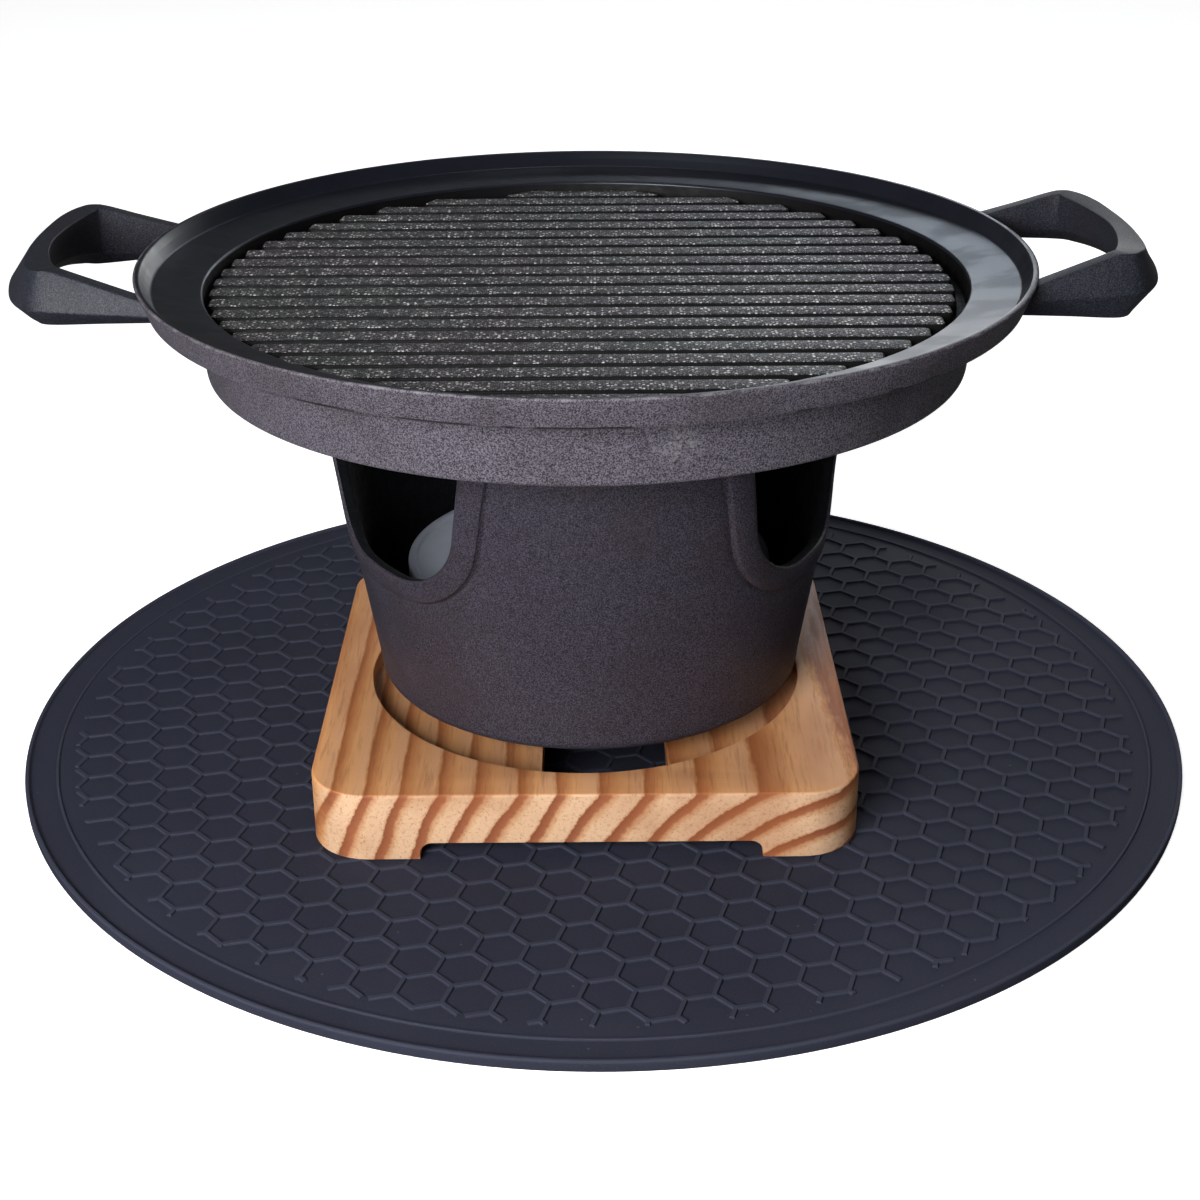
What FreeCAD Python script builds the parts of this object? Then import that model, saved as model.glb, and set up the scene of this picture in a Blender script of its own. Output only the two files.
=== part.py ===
"""Table-top hibachi grill: a cast grill plate with two loop handles on a tapered cast stove, which stands in a
wooden base on a round silicone mat. A fuel cup with a dished lid stands inside the stove.

Millimetres, +Z up. The origin is the middle of the mat's underside. The ribs run along X, and the handles are
at -X and +X."""

import FreeCAD, Part
import math
import os

V = FreeCAD.Vector
Z_AXIS = V(0, 0, 1)
CLEAR = 20.0                    # how far a cutting tool reaches past what it cuts
SUNK = 0.5                      # how deep a fused piece starts inside the one that carries it

# ---- silicone mat ----
mat_radius = 183.5
mat_field_thickness = 3.0       # where the base stands
mat_ridge_height = 0.5          # rim line and inner line, above the field
mat_rim_line_width = 2.0
mat_border_width = 15.0         # from the edge to the inner line
mat_inner_line_width = 1.6
mat_ridge_slope = 0.2           # sideways run of a ridge's flank
mat_edge_round = 0.8

# ---- where the pieces stand on the mat ----
grill_x, grill_y = -4.3, -5.8   # common axis of the stove, cup, lid and plate
base_x, base_y = -5.6, -12.2    # middle of the wooden base

# ---- wooden base: heights from the mat's field ----
base_side = 158.4
base_height = 21.1
base_corner_radius = 17.0
base_edge_round = 0.8
recess_radius = 67.0
recess_depth = 6.0
vent_width = 37.0               # one slot through the base, running front to back
vent_half_length = 63.0
vent_shift_x = 5.8              # the slot lies right of the middle
channel_width = 98.0            # under the base, both ways, leaving four corner feet
channel_shift_x = 1.7           # of the channel that runs front to back
channel_height = 5.3
channel_corner_radius = 3.5

# ---- stove body: heights from the mat's field ----
stove_foot_outer_radius = 48.0
stove_foot_inner_radius = 42.0
stove_bottom = 23.0             # underside of the shell, clear of the wood
stove_top = 137.0
stove_bottom_corner_radius = 7.5
stove_flat_radius = 58.7        # where the bottom corner begins
stove_taper = 0.1617            # growth of the radius per millimetre of height
stove_wall = 3.2
stove_floor_thickness = 3.5
stove_inner_corner = 4.0        # height of the chamfer inside, between floor and wall

# ---- U-shaped notches in the stove ----
notch_directions = (-146.4, -24.9, 94.4)    # degrees from +X
notch_bottom = 72.0
notch_low_half_width = 29.0     # at the bottom, where the leaning sides would reach it
notch_side_slope = 0.279        # each side leans outwards, per millimetre of height
notch_corner_radius = 25.0
band_width = 7.0                # raised band round each notch
band_height = 1.2

# ---- fuel cup and its lid ----
cup_radius = 52.7
cup_wall = 1.2
cup_rim_height = 57.0
cup_foot_inset = 6.0            # chamfer round the cup's foot
cup_foot_rise = 5.0
lid_top = 58.2
lid_outer_radius = 56.2
lid_thickness = 1.2
lid_rim_width = 2.4
lid_dish_slope_width = 2.9
lid_dish_depth = 1.1
lid_skirt_depth = 5.0
lid_edge_round = 0.7
lid_play = 0.6                  # between the dish and the inside of the cup

# ---- grill plate: heights from the mat's field ----
rim_top = 154.4
rim_radius = 130.0
lip_width = 1.9
lip_hollow = (126.5, 151.3)     # radius and height on the lip's concave inner face
lip_foot = (125.1, 149.6)       # where that face meets the dish
dish_inner_radius = 111.0
dish_inner_height = 147.8
gutter_floor = 141.0
plate_underside = 137.0
flange_bottom = 145.6
flange_bottom_radius = 126.6
skirt_top_radius = 113.8
skirt_bottom_radius = 111.5
skirt_bottom = 124.8
skirt_wall = 3.6
plate_edge_round = 0.7
flange_chamfer = 0.6
skirt_chamfer = 0.8
gutter_draft = 0.4              # sideways run of the gutter's outer wall
locating_ring_play = 2.0        # the ring under the plate, inside the stove's mouth
locating_ring_width = 3.0
locating_ring_height = 4.0

# ---- ribs ----
rib_count = 21
rib_pitch = 10.45
rib_top_width = 7.9
rib_foot_width = 8.7
rib_top = 145.3
rib_field_radius = 108.4
rib_trim_radius = 109.9         # rounds the ribs' ends to the field
rib_shift_x, rib_shift_y = -1.3, 0.9

# ---- handles ----
handle_turn = 1.9               # degrees off the ribs' direction
# Sections of half a loop, from the rim to the middle of the grip. Each point is outward distance from the
# plate's axis, sideways distance and height. The five points of a section are the top inner edge, the top
# outer edge, the widest edge, the bottom outer edge and the bottom inner edge.
arm_root = ((118.0, 36.0, 151.7), (118.0, 41.2, 151.7), (118.0, 42.1, 148.7),
            (118.0, 38.6, 146.2), (118.0, 36.6, 147.6))
arm_end = ((145.3, 32.1, 160.6), (147.0, 37.0, 160.9), (149.0, 40.6, 150.3),
           (148.6, 36.2, 145.4), (144.3, 34.4, 149.1))
grip_corner = ((147.2, 29.6, 160.7), (152.3, 35.3, 160.8), (155.5, 37.2, 150.2),
               (153.0, 32.6, 145.4), (148.6, 31.0, 149.3))
grip_side = ((149.6, 22.8, 160.4), (156.4, 26.8, 160.4), (161.2, 27.2, 150.0),
             (157.6, 24.8, 145.4), (152.6, 23.0, 149.4))
grip_quarter = ((152.2, 12.0, 160.1), (158.3, 13.0, 160.1), (164.9, 12.8, 150.0),
                (160.9, 12.0, 145.4), (155.8, 11.6, 149.5))
grip_middle = ((153.4, 0.0, 160.0), (158.9, 0.0, 160.0), (166.3, 0.0, 150.0),
               (162.0, 0.0, 145.4), (157.0, 0.0, 149.5))
half_loop = (arm_root, arm_end, grip_corner, grip_side, grip_quarter)
deep_arm_drops = (1.9, 3.1, 2.0, 0.6, 0.0)      # one arm of each loop reaches lower, section by section


def arc_middle_inset(radius):
    """How far the middle of a quarter-round lies inside its corner, along each axis."""
    return radius * (1 - math.sqrt(0.5))


def closed_face(points):
    """A flat face from outline points. A point given as a pair (through, end) makes an arc to its end."""
    edges = []
    here = points[0]
    for step in list(points[1:]) + [points[0]]:
        if isinstance(step, tuple):
            through, end = step
            edges.append(Part.Arc(here, through, end).toShape())
            here = end
        elif (step - here).Length > 1e-6:
            edges.append(Part.LineSegment(here, step).toShape())
            here = step
    return Part.Face(Part.Wire(edges))


def turned(points):
    """A solid of revolution about Z from an outline of (radius, height) points."""
    outline = []
    for point in points:
        if isinstance(point[0], tuple):
            through, end = point
            outline.append((V(through[0], 0, through[1]), V(end[0], 0, end[1])))
        else:
            outline.append(V(point[0], 0, point[1]))
    return closed_face(outline).revolve(V(0, 0, 0), Z_AXIS, 360)


def ring(outer, inner, low, high):
    """A plain ring round Z."""
    return turned([(inner, low), (outer, low), (outer, high), (inner, high)])


def rounded_block(width, depth, low, high, corner):
    """A block centred on Z with rounded vertical edges."""
    block = Part.makeBox(width, depth, high - low, V(-width / 2, -depth / 2, low))
    upright = [edge for edge in block.Edges if abs(edge.tangentAt(edge.FirstParameter).z) > 0.99]
    return block.makeFillet(corner, upright)


def placed(shape, x=0.0, y=0.0):
    """A copy moved from heights above the mat's field into the object's frame."""
    moved = shape.copy()
    moved.translate(V(x, y, mat_field_thickness))
    return moved


# ---- mat ----

def silicone_mat():
    field = mat_field_thickness
    top = field + mat_ridge_height
    line_outer = mat_radius - mat_border_width
    line_inner = line_outer - mat_inner_line_width
    rim_inner = mat_radius - mat_rim_line_width
    inset = arc_middle_inset(mat_edge_round)
    return turned([
        (0, 0),
        (mat_radius - mat_edge_round, 0),
        ((mat_radius - inset, inset), (mat_radius, mat_edge_round)),
        (mat_radius, top - mat_edge_round),
        ((mat_radius - inset, top - inset), (mat_radius - mat_edge_round, top)),
        (rim_inner + mat_ridge_slope, top),
        (rim_inner, field),
        (line_outer, field),
        (line_outer - mat_ridge_slope, top),
        (line_inner + mat_ridge_slope, top),
        (line_inner, field),
        (0, field),
    ])


# ---- wooden base ----

def underside_channel(along_x):
    """One channel under the base, round-cornered at its top, longer than the base."""
    half = channel_width / 2
    r = channel_corner_radius
    inset = arc_middle_inset(r)
    top = channel_height
    length = base_side + CLEAR
    outline = [
        V(-half, 0, -CLEAR),
        V(half, 0, -CLEAR),
        V(half, 0, top - r),
        (V(half - inset, 0, top - inset), V(half - r, 0, top)),
        V(-half + r, 0, top),
        (V(-half + inset, 0, top - inset), V(-half, 0, top - r)),
    ]
    channel = closed_face(outline).extrude(V(0, length, 0))
    channel.translate(V(0, -length / 2, 0))
    if along_x:
        channel.rotate(V(0, 0, 0), Z_AXIS, 90)
    return channel


def wooden_base():
    block = rounded_block(base_side, base_side, 0, base_height, base_corner_radius)
    level = [edge for edge in block.Edges
             if edge.BoundBox.ZLength < 1e-6 and abs(edge.BoundBox.ZMin - base_height) < 1e-6]
    block = block.makeFillet(base_edge_round, level)
    front_to_back = underside_channel(False)
    front_to_back.translate(V(channel_shift_x, 0, 0))
    block = block.cut(front_to_back).cut(underside_channel(True))
    recess_floor = base_height - recess_depth
    block = block.cut(Part.makeCylinder(recess_radius, recess_depth + CLEAR, V(0, 0, recess_floor)))
    vent = Part.makeBox(vent_width, 2 * vent_half_length, base_height,
                        V(vent_shift_x - vent_width / 2, -vent_half_length, 0))
    return block.cut(vent).removeSplitter()


# ---- stove ----

def wall_radius(height):
    """Outer radius of the stove's wall at a height."""
    tangent = math.atan(stove_taper)
    low_radius = stove_flat_radius + stove_bottom_corner_radius * math.cos(tangent)
    low_height = stove_bottom + stove_bottom_corner_radius * (1 - math.sin(tangent))
    return low_radius + stove_taper * (height - low_height)


def stove_shell():
    tangent = math.atan(stove_taper)
    r = stove_bottom_corner_radius
    centre_height = stove_bottom + r
    middle = (math.radians(90) - tangent) / 2 + tangent
    arc_end = (stove_flat_radius + r * math.cos(tangent), centre_height - r * math.sin(tangent))
    arc_middle = (stove_flat_radius + r * math.cos(middle), centre_height - r * math.sin(middle))
    floor_top = stove_bottom + stove_floor_thickness
    inner_corner_height = floor_top + stove_inner_corner
    return turned([
        (0, stove_bottom),
        (stove_flat_radius, stove_bottom),
        (arc_middle, arc_end),
        (wall_radius(stove_top), stove_top),
        (wall_radius(stove_top) - stove_wall, stove_top),
        (wall_radius(inner_corner_height) - stove_wall, inner_corner_height),
        (stove_flat_radius, floor_top),
        (0, floor_top),
    ])


def notch_prism(direction, grow=0.0):
    """A prism with a notch's outline, moved outwards by grow: flat bottom, round corners and leaning sides. It
    is open at the top, and points outward along a direction in degrees from +X."""
    lean = math.atan(notch_side_slope)
    radius = notch_corner_radius + grow
    flat_end = notch_low_half_width - notch_corner_radius * math.tan((math.pi / 2 - lean) / 2)
    centre = notch_bottom + notch_corner_radius
    bottom = notch_bottom - grow
    high = stove_top + CLEAR
    halfway = (math.pi / 2 + lean) / 2
    arc_middle = (flat_end + radius * math.cos(halfway), centre - radius * math.sin(halfway))
    arc_end = (flat_end + radius * math.cos(lean), centre - radius * math.sin(lean))
    top_half_width = arc_end[0] + notch_side_slope * (high - arc_end[1])
    outline = [
        V(0, -top_half_width, high),
        V(0, -arc_end[0], arc_end[1]),
        (V(0, -arc_middle[0], arc_middle[1]), V(0, -flat_end, bottom)),
        V(0, flat_end, bottom),
        (V(0, arc_middle[0], arc_middle[1]), V(0, arc_end[0], arc_end[1])),
        V(0, top_half_width, high),
    ]
    inside = stove_flat_radius / 2
    prism = closed_face(outline).extrude(V(wall_radius(stove_top) + CLEAR - inside, 0, 0))
    prism.translate(V(inside, 0, 0))
    prism.rotate(V(0, 0, 0), Z_AXIS, direction)
    return prism


def notch_band(direction):
    """The raised band round one notch, standing out of the wall."""
    low = notch_bottom - band_width - CLEAR
    sleeve = turned([
        (wall_radius(low) - SUNK, low),
        (wall_radius(low) + band_height, low),
        (wall_radius(stove_top) + band_height, stove_top),
        (wall_radius(stove_top) - SUNK, stove_top),
    ])
    return sleeve.common(notch_prism(direction, band_width))


def stove_body():
    body = stove_shell()
    for direction in notch_directions:
        body = body.fuse(notch_band(direction))
    for direction in notch_directions:
        body = body.cut(notch_prism(direction))
    recess_floor = base_height - recess_depth
    foot = ring(stove_foot_outer_radius, stove_foot_inner_radius, recess_floor, stove_bottom + SUNK)
    return body.fuse(foot).removeSplitter()


# ---- fuel cup and lid ----

def fuel_cup():
    low = stove_bottom + stove_floor_thickness
    foot_radius = cup_radius - cup_foot_inset
    inner = cup_radius - cup_wall
    chamfer_step = cup_wall / 3     # keeps the wall one thickness through the chamfer
    return turned([
        (0, low),
        (foot_radius, low),
        (cup_radius, low + cup_foot_rise),
        (cup_radius, cup_rim_height),
        (inner, cup_rim_height),
        (inner, low + cup_foot_rise + chamfer_step),
        (foot_radius - chamfer_step, low + cup_wall),
        (0, low + cup_wall),
    ])


def cup_lid():
    rim_inner = lid_outer_radius - lid_rim_width
    dish_radius = rim_inner - lid_dish_slope_width
    dish_floor = lid_top - lid_dish_depth
    under_rim = lid_top - lid_thickness
    skirt_inner = lid_outer_radius - lid_thickness
    skirt_low = lid_top - lid_skirt_depth
    inside_cup = cup_radius - cup_wall - lid_play
    inset = arc_middle_inset(lid_edge_round)
    return turned([
        (0, dish_floor - lid_thickness),
        (dish_radius - lid_thickness / 2, dish_floor - lid_thickness),
        (inside_cup, under_rim),
        (skirt_inner, under_rim),
        (skirt_inner, skirt_low),
        (lid_outer_radius, skirt_low),
        (lid_outer_radius, lid_top - lid_edge_round),
        ((lid_outer_radius - inset, lid_top - inset), (lid_outer_radius - lid_edge_round, lid_top)),
        (rim_inner, lid_top),
        (dish_radius, dish_floor),
        (0, dish_floor),
    ])


# ---- grill plate ----

def plate_casting():
    """The plate without its ribs."""
    lip_inner = rim_radius - lip_width
    skirt_inner = skirt_bottom_radius - skirt_wall
    inset = arc_middle_inset(plate_edge_round)
    return turned([
        (0, plate_underside),
        (skirt_inner, plate_underside),
        (skirt_inner, skirt_bottom),
        (skirt_bottom_radius - skirt_chamfer, skirt_bottom),
        (skirt_bottom_radius, skirt_bottom + skirt_chamfer),
        (skirt_top_radius, flange_bottom),
        (flange_bottom_radius - flange_chamfer, flange_bottom),
        (flange_bottom_radius, flange_bottom + flange_chamfer),
        (rim_radius, rim_top - plate_edge_round),
        ((rim_radius - inset, rim_top - inset), (rim_radius - plate_edge_round, rim_top)),
        (lip_inner, rim_top),
        (lip_hollow, lip_foot),
        (dish_inner_radius, dish_inner_height),
        (dish_inner_radius - gutter_draft, gutter_floor),
        (0, gutter_floor),
    ])


def rib(index):
    """One straight rib along X, square-ended, trimmed to the round field."""
    y = rib_pitch * index + rib_shift_y
    half_length = math.sqrt(rib_field_radius ** 2 - (rib_pitch * index) ** 2)
    low = gutter_floor - SUNK
    outline = [
        V(-half_length, y - rib_foot_width / 2, low),
        V(-half_length, y + rib_foot_width / 2, low),
        V(-half_length, y + rib_top_width / 2, rib_top),
        V(-half_length, y - rib_top_width / 2, rib_top),
    ]
    bar = closed_face(outline).extrude(V(2 * half_length, 0, 0))
    bar.translate(V(rib_shift_x, 0, 0))
    return bar.common(Part.makeCylinder(rib_trim_radius, CLEAR, V(0, 0, low)))


def grill_plate():
    plate = plate_casting()
    for number in range(rib_count):
        plate = plate.fuse(rib(number - rib_count // 2))
    ring_outer = wall_radius(plate_underside) - stove_wall - locating_ring_play
    locating_ring = ring(ring_outer, ring_outer - locating_ring_width,
                         plate_underside - locating_ring_height, plate_underside + SUNK)
    return plate.fuse(locating_ring).removeSplitter()


# ---- handles ----

def section_wire(points, side, drop=0.0):
    """One section of a handle as a closed wire. side is +1 or -1 for the two halves of the loop, and drop
    lowers the two bottom edges."""
    lowered = points[:3] + tuple((u, w, z - drop) for u, w, z in points[3:])
    return Part.makePolygon([V(u, side * w, z) for u, w, z in lowered + lowered[:1]])


def handle(direction):
    """One loop handle, cut off where it meets the rim's outer face."""
    wires = [section_wire(points, 1) for points in half_loop]
    wires.append(section_wire(grip_middle, 1))
    deeper_half = zip(reversed(half_loop), reversed(deep_arm_drops))
    wires += [section_wire(points, -1, drop) for points, drop in deeper_half]
    loop = Part.makeLoft(wires, True, True)
    envelope = turned([
        (0, skirt_bottom),
        (flange_bottom_radius, skirt_bottom),
        (flange_bottom_radius, flange_bottom + flange_chamfer),
        (rim_radius, rim_top - plate_edge_round),
        (rim_radius, rim_top + CLEAR),
        (0, rim_top + CLEAR),
    ])
    loop = loop.cut(envelope)
    loop.rotate(V(0, 0, 0), Z_AXIS, direction)
    return loop


def build():
    return {
        "silicone_mat": silicone_mat(),
        "wooden_base": placed(wooden_base(), base_x, base_y),
        "stove_body": placed(stove_body(), grill_x, grill_y),
        "fuel_cup": placed(fuel_cup(), grill_x, grill_y),
        "cup_lid": placed(cup_lid(), grill_x, grill_y),
        "grill_plate": placed(grill_plate(), grill_x, grill_y),
        "right_handle": placed(handle(handle_turn), grill_x, grill_y),
        "left_handle": placed(handle(180 + handle_turn), grill_x, grill_y),
    }


os.makedirs("parts", exist_ok=True)
for node, shape in build().items():
    solids = shape.Solids
    print(node, "solids", len(solids), "valid", shape.isValid(), "volume_cm3", round(shape.Volume / 1000, 1))
    (solids[0] if len(solids) == 1 else shape).exportStep("parts/" + node + ".step")
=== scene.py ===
"""The looks of a table-top hibachi grill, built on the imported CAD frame.

Shapes are worked out in millimetres and stored in metres, in the CAD's own frame: +Z up, -Y the front, ribs
along X. Heights called "above the field" start where the wooden base stands on the mat."""

import math

import bmesh
import bpy
from mathutils import Matrix, Vector


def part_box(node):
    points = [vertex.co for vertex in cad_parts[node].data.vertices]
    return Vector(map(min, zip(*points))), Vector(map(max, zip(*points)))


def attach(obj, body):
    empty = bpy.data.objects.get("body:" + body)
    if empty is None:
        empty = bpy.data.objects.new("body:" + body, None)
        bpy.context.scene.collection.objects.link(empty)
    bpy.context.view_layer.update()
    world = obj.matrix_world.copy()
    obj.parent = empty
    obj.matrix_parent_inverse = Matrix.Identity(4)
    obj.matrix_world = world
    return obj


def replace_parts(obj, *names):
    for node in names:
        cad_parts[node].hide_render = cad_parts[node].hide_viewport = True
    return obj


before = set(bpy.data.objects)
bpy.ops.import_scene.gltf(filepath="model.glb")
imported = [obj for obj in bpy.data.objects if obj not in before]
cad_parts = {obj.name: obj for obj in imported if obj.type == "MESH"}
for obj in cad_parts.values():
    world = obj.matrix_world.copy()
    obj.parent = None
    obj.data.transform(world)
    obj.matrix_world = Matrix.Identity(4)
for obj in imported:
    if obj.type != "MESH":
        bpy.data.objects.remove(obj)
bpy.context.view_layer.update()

MM = 0.001


# ---------------------------------------------------------------- places, from the CAD

def middle(node):
    """Middle of a round CAD node in plan, in millimetres."""
    low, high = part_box(node)
    return (low.x + high.x) / 2 / MM, (low.y + high.y) / 2 / MM


def lowest(node):
    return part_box(node)[0].z / MM


def highest(node):
    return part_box(node)[1].z / MM


def width(node):
    low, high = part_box(node)
    return (high.x - low.x) / MM


grill_x, grill_y = middle("cup_lid")        # common axis of stove, cup, lid and plate
base_x = middle("wooden_base")[0]
field = lowest("wooden_base")               # top of the mat where the base stands
# the mat's middle is at the origin
mat_radius = min(abs(side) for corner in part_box("silicone_mat") for side in corner[:2]) / MM
mat_top = highest("silicone_mat")
rim_top = highest("grill_plate") - field
rim_radius = width("grill_plate") / 2
lid_top = highest("cup_lid") - field
lid_radius = width("cup_lid") / 2
cup_top = highest("fuel_cup") - field
cup_radius = width("fuel_cup") / 2
cup_bottom = lowest("fuel_cup") - field
stove_foot = lowest("stove_body") - field
stove_top = highest("stove_body") - field


# ---------------------------------------------------------------- node materials

class Finish:
    """A node material, built with short calls. A socket can be a number, a tuple or another node's output."""

    def __init__(self, name):
        self.material = bpy.data.materials.new(name)
        self.material.use_nodes = True
        self.tree = self.material.node_tree
        self.shader = self.tree.nodes["Principled BSDF"]
        coordinates = self.tree.nodes.new("ShaderNodeTexCoord")
        self.normal = coordinates.outputs["Normal"]
        in_metres = coordinates.outputs["Object"]
        scaled = self.node("ShaderNodeVectorMath", {0: in_metres, "Scale": 1 / MM}, operation="SCALE")
        self.place = scaled.outputs[0]
        split = self.node("ShaderNodeSeparateXYZ", {"Vector": self.place})
        self.x, _, self.z = split.outputs

    def node(self, kind, sockets=None, **settings):
        made = self.tree.nodes.new(kind)
        for name, value in settings.items():
            setattr(made, name, value)
        for name, value in (sockets or {}).items():
            self.plug(made.inputs[name], value)
        return made

    def plug(self, socket, value):
        if isinstance(value, bpy.types.NodeSocket):
            self.tree.links.new(value, socket)
        else:
            socket.default_value = value

    def set(self, **values):
        """Sockets of the Principled shader, with _ for a space."""
        for name, value in values.items():
            self.plug(self.shader.inputs[name.replace("_", " ")], value)

    def math(self, operation, first, second=0.0):
        return self.node("ShaderNodeMath", {0: first, 1: second}, operation=operation).outputs[0]

    def vector(self, operation, first, second):
        return self.node("ShaderNodeVectorMath", {0: first, 1: second}, operation=operation).outputs[0]

    def length(self, vector):
        return self.node("ShaderNodeVectorMath", {0: vector}, operation="LENGTH").outputs["Value"]

    def stretched(self, x, y, z):
        """The place in millimetres, with each axis multiplied."""
        return self.vector("MULTIPLY", self.place, (x, y, z))

    def noise(self, scale, detail=2.0, roughness=0.5, at=None):
        """Noise with features about 1/scale millimetres across."""
        return self.node("ShaderNodeTexNoise", {
            "Vector": self.place if at is None else at,
            "Scale": scale, "Detail": detail, "Roughness": roughness,
        }).outputs["Fac"]

    def dots(self, scale, radius, share):
        """Round dots at scattered places, 0 to 1. Only a share of the places carries one."""
        scattered = self.node("ShaderNodeTexVoronoi", {"Vector": self.place, "Scale": scale})
        lot = self.node("ShaderNodeSeparateColor", {"Color": scattered.outputs["Color"]}).outputs[0]
        inside = self.span(scattered.outputs["Distance"], radius * 0.7, radius * 1.3, 1.0, 0.0)
        return self.math("MULTIPLY", inside, self.math("LESS_THAN", lot, share))

    def span(self, value, low, high, to_low=0.0, to_high=1.0):
        """value from low..high to to_low..to_high, held at the ends, with soft shoulders."""
        return self.node("ShaderNodeMapRange", {
            "Value": value, "From Min": low, "From Max": high, "To Min": to_low, "To Max": to_high,
        }, interpolation_type="SMOOTHSTEP").outputs["Result"]

    def ramp(self, value, *stops):
        """Colours along 0 to 1, as (position, colour) pairs."""
        made = self.node("ShaderNodeValToRGB", {"Fac": value})
        elements = made.color_ramp.elements
        while len(elements) < len(stops):
            elements.new(0.5)
        for element, (position, colour) in zip(elements, stops):
            element.position = position
            element.color = (*colour, 1)
        return made.outputs["Color"]

    def mix(self, share, first, second):
        """A colour between two colours."""
        made = self.node("ShaderNodeMix", data_type="RGBA")
        self.plug(made.inputs["Factor"], share)
        for socket, colour in ((made.inputs[6], first), (made.inputs[7], second)):
            self.plug(socket, (*colour, 1) if isinstance(colour, tuple) else colour)
        return made.outputs[2]

    def bump(self, height, depth):
        """Surface relief, with depth in millimetres."""
        sockets = {"Height": height, "Distance": depth * MM, "Strength": 1.0}
        return self.node("ShaderNodeBump", sockets).outputs["Normal"]


def srgb(red, green, blue):
    """A colour as seen on screen, 0 to 255, turned into the linear values that shaders take."""
    def linear(value):
        value /= 255
        return value / 12.92 if value <= 0.04045 else ((value + 0.055) / 1.055) ** 2.4
    return linear(red), linear(green), linear(blue)


def heat_paint(name, dark, light, scuffs=0.0):
    """Fine speckled heat-resistant paint on cast metal."""
    f = Finish(name)
    grain = f.noise(2.3, 2.0, 0.85)
    cloud = f.noise(0.03, 3.0, 0.55)
    colour = f.mix(f.span(grain, 0.38, 0.64), dark, light)
    colour = f.mix(f.math("MULTIPLY", f.span(cloud, 0.45, 0.7), 0.3), colour, srgb(48, 38, 36))
    specks = f.span(f.noise(2.6, 1.0, 0.6), 0.64, 0.76)
    colour = f.mix(f.math("MULTIPLY", specks, 0.45), colour, srgb(118, 113, 122))
    if scuffs:
        streaks = f.noise(0.5, 4.0, 0.7, f.stretched(0.5, 0.5, 2.2))
        rubbed = f.math("MULTIPLY", f.span(streaks, 0.66, 0.78), f.span(cloud, 0.52, 0.64))
        colour = f.mix(f.math("MULTIPLY", rubbed, scuffs), colour, srgb(150, 146, 146))
    f.set(Base_Color=colour, Roughness=f.span(cloud, 0.3, 0.7, 0.46, 0.56), Specular_IOR_Level=0.28,
          Normal=f.bump(grain, 0.09))
    return f


def plate_outside():
    """The heat paint on the plate's rim and skirt, with the casting's parting line, a pale band along the
    upper edge that is wear and painted highlight, and one scuffed patch on the skirt's front."""
    f = heat_paint("plate_outside", srgb(36, 34, 40), srgb(126, 120, 132), scuffs=0.3)
    painted = f.shader.inputs["Base Color"].links[0].from_socket
    top_edge = field + rim_top
    line_height = top_edge - 8.3
    scuff_middle = (grill_x + 22.5, grill_y - 111.0, field + 135.0)
    scuff_shape = (1, 0.3, 1.1)             # a smaller number makes the patch longer along that axis
    near_line = f.span(f.math("ABSOLUTE", f.math("SUBTRACT", f.z, line_height)), 0.15, 0.42, 1.0, 0.0)
    broken = f.span(f.noise(0.05, 2.0, 0.6, f.stretched(1, 1, 0)), 0.5, 0.56)
    colour = f.mix(f.math("MULTIPLY", near_line, f.math("MULTIPLY", broken, 0.8)), painted, srgb(16, 14, 15))
    # a pale band just under the rim's top edge: wear and a painted highlight
    near_top = f.span(f.z, top_edge - 0.9, top_edge - 0.25)
    wear_and_highlight = f.math("MULTIPLY", near_top, f.span(f.noise(0.25, 3.0, 0.7), 0.46, 0.66))
    colour = f.mix(f.math("MULTIPLY", wear_and_highlight, 0.5), colour, srgb(150, 148, 152))
    from_scuff = f.vector("MULTIPLY", f.vector("SUBTRACT", f.place, scuff_middle), scuff_shape)
    inside_scuff = f.span(f.length(from_scuff), 2.0, 8.0, 1.0, 0.0)
    rubbed = f.math("MULTIPLY", inside_scuff, f.span(f.noise(0.55, 4.0, 0.75), 0.44, 0.62))
    colour = f.mix(f.math("MULTIPLY", rubbed, 0.6), colour, srgb(150, 147, 150))
    f.set(Base_Color=colour)
    return f.material


def dish_coating():
    """Smooth satin non-stick coating on the dish and the inside of the lip."""
    f = Finish("dish_coating")
    cloud = f.noise(0.05, 3.0, 0.5)
    wiped = f.noise(0.045, 3.0, 0.6, f.stretched(1, 1.6, 1))
    dust = f.span(f.noise(2.4, 2.0, 0.7), 0.68, 0.82)
    colour = f.mix(f.math("MULTIPLY", dust, 0.2), srgb(24, 25, 34), srgb(84, 82, 86))
    colour = f.mix(f.math("MULTIPLY", f.span(wiped, 0.46, 0.56), 0.3), colour, srgb(14, 14, 20))
    f.set(Base_Color=colour, Roughness=f.span(wiped, 0.42, 0.6, 0.30, 0.37), Specular_IOR_Level=0.36,
          Specular_Tint=(0.80, 0.88, 1.0, 1),
          Normal=f.bump(f.math("ADD", f.noise(0.7, 2.0), cloud), 0.012))
    return f.material


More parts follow.
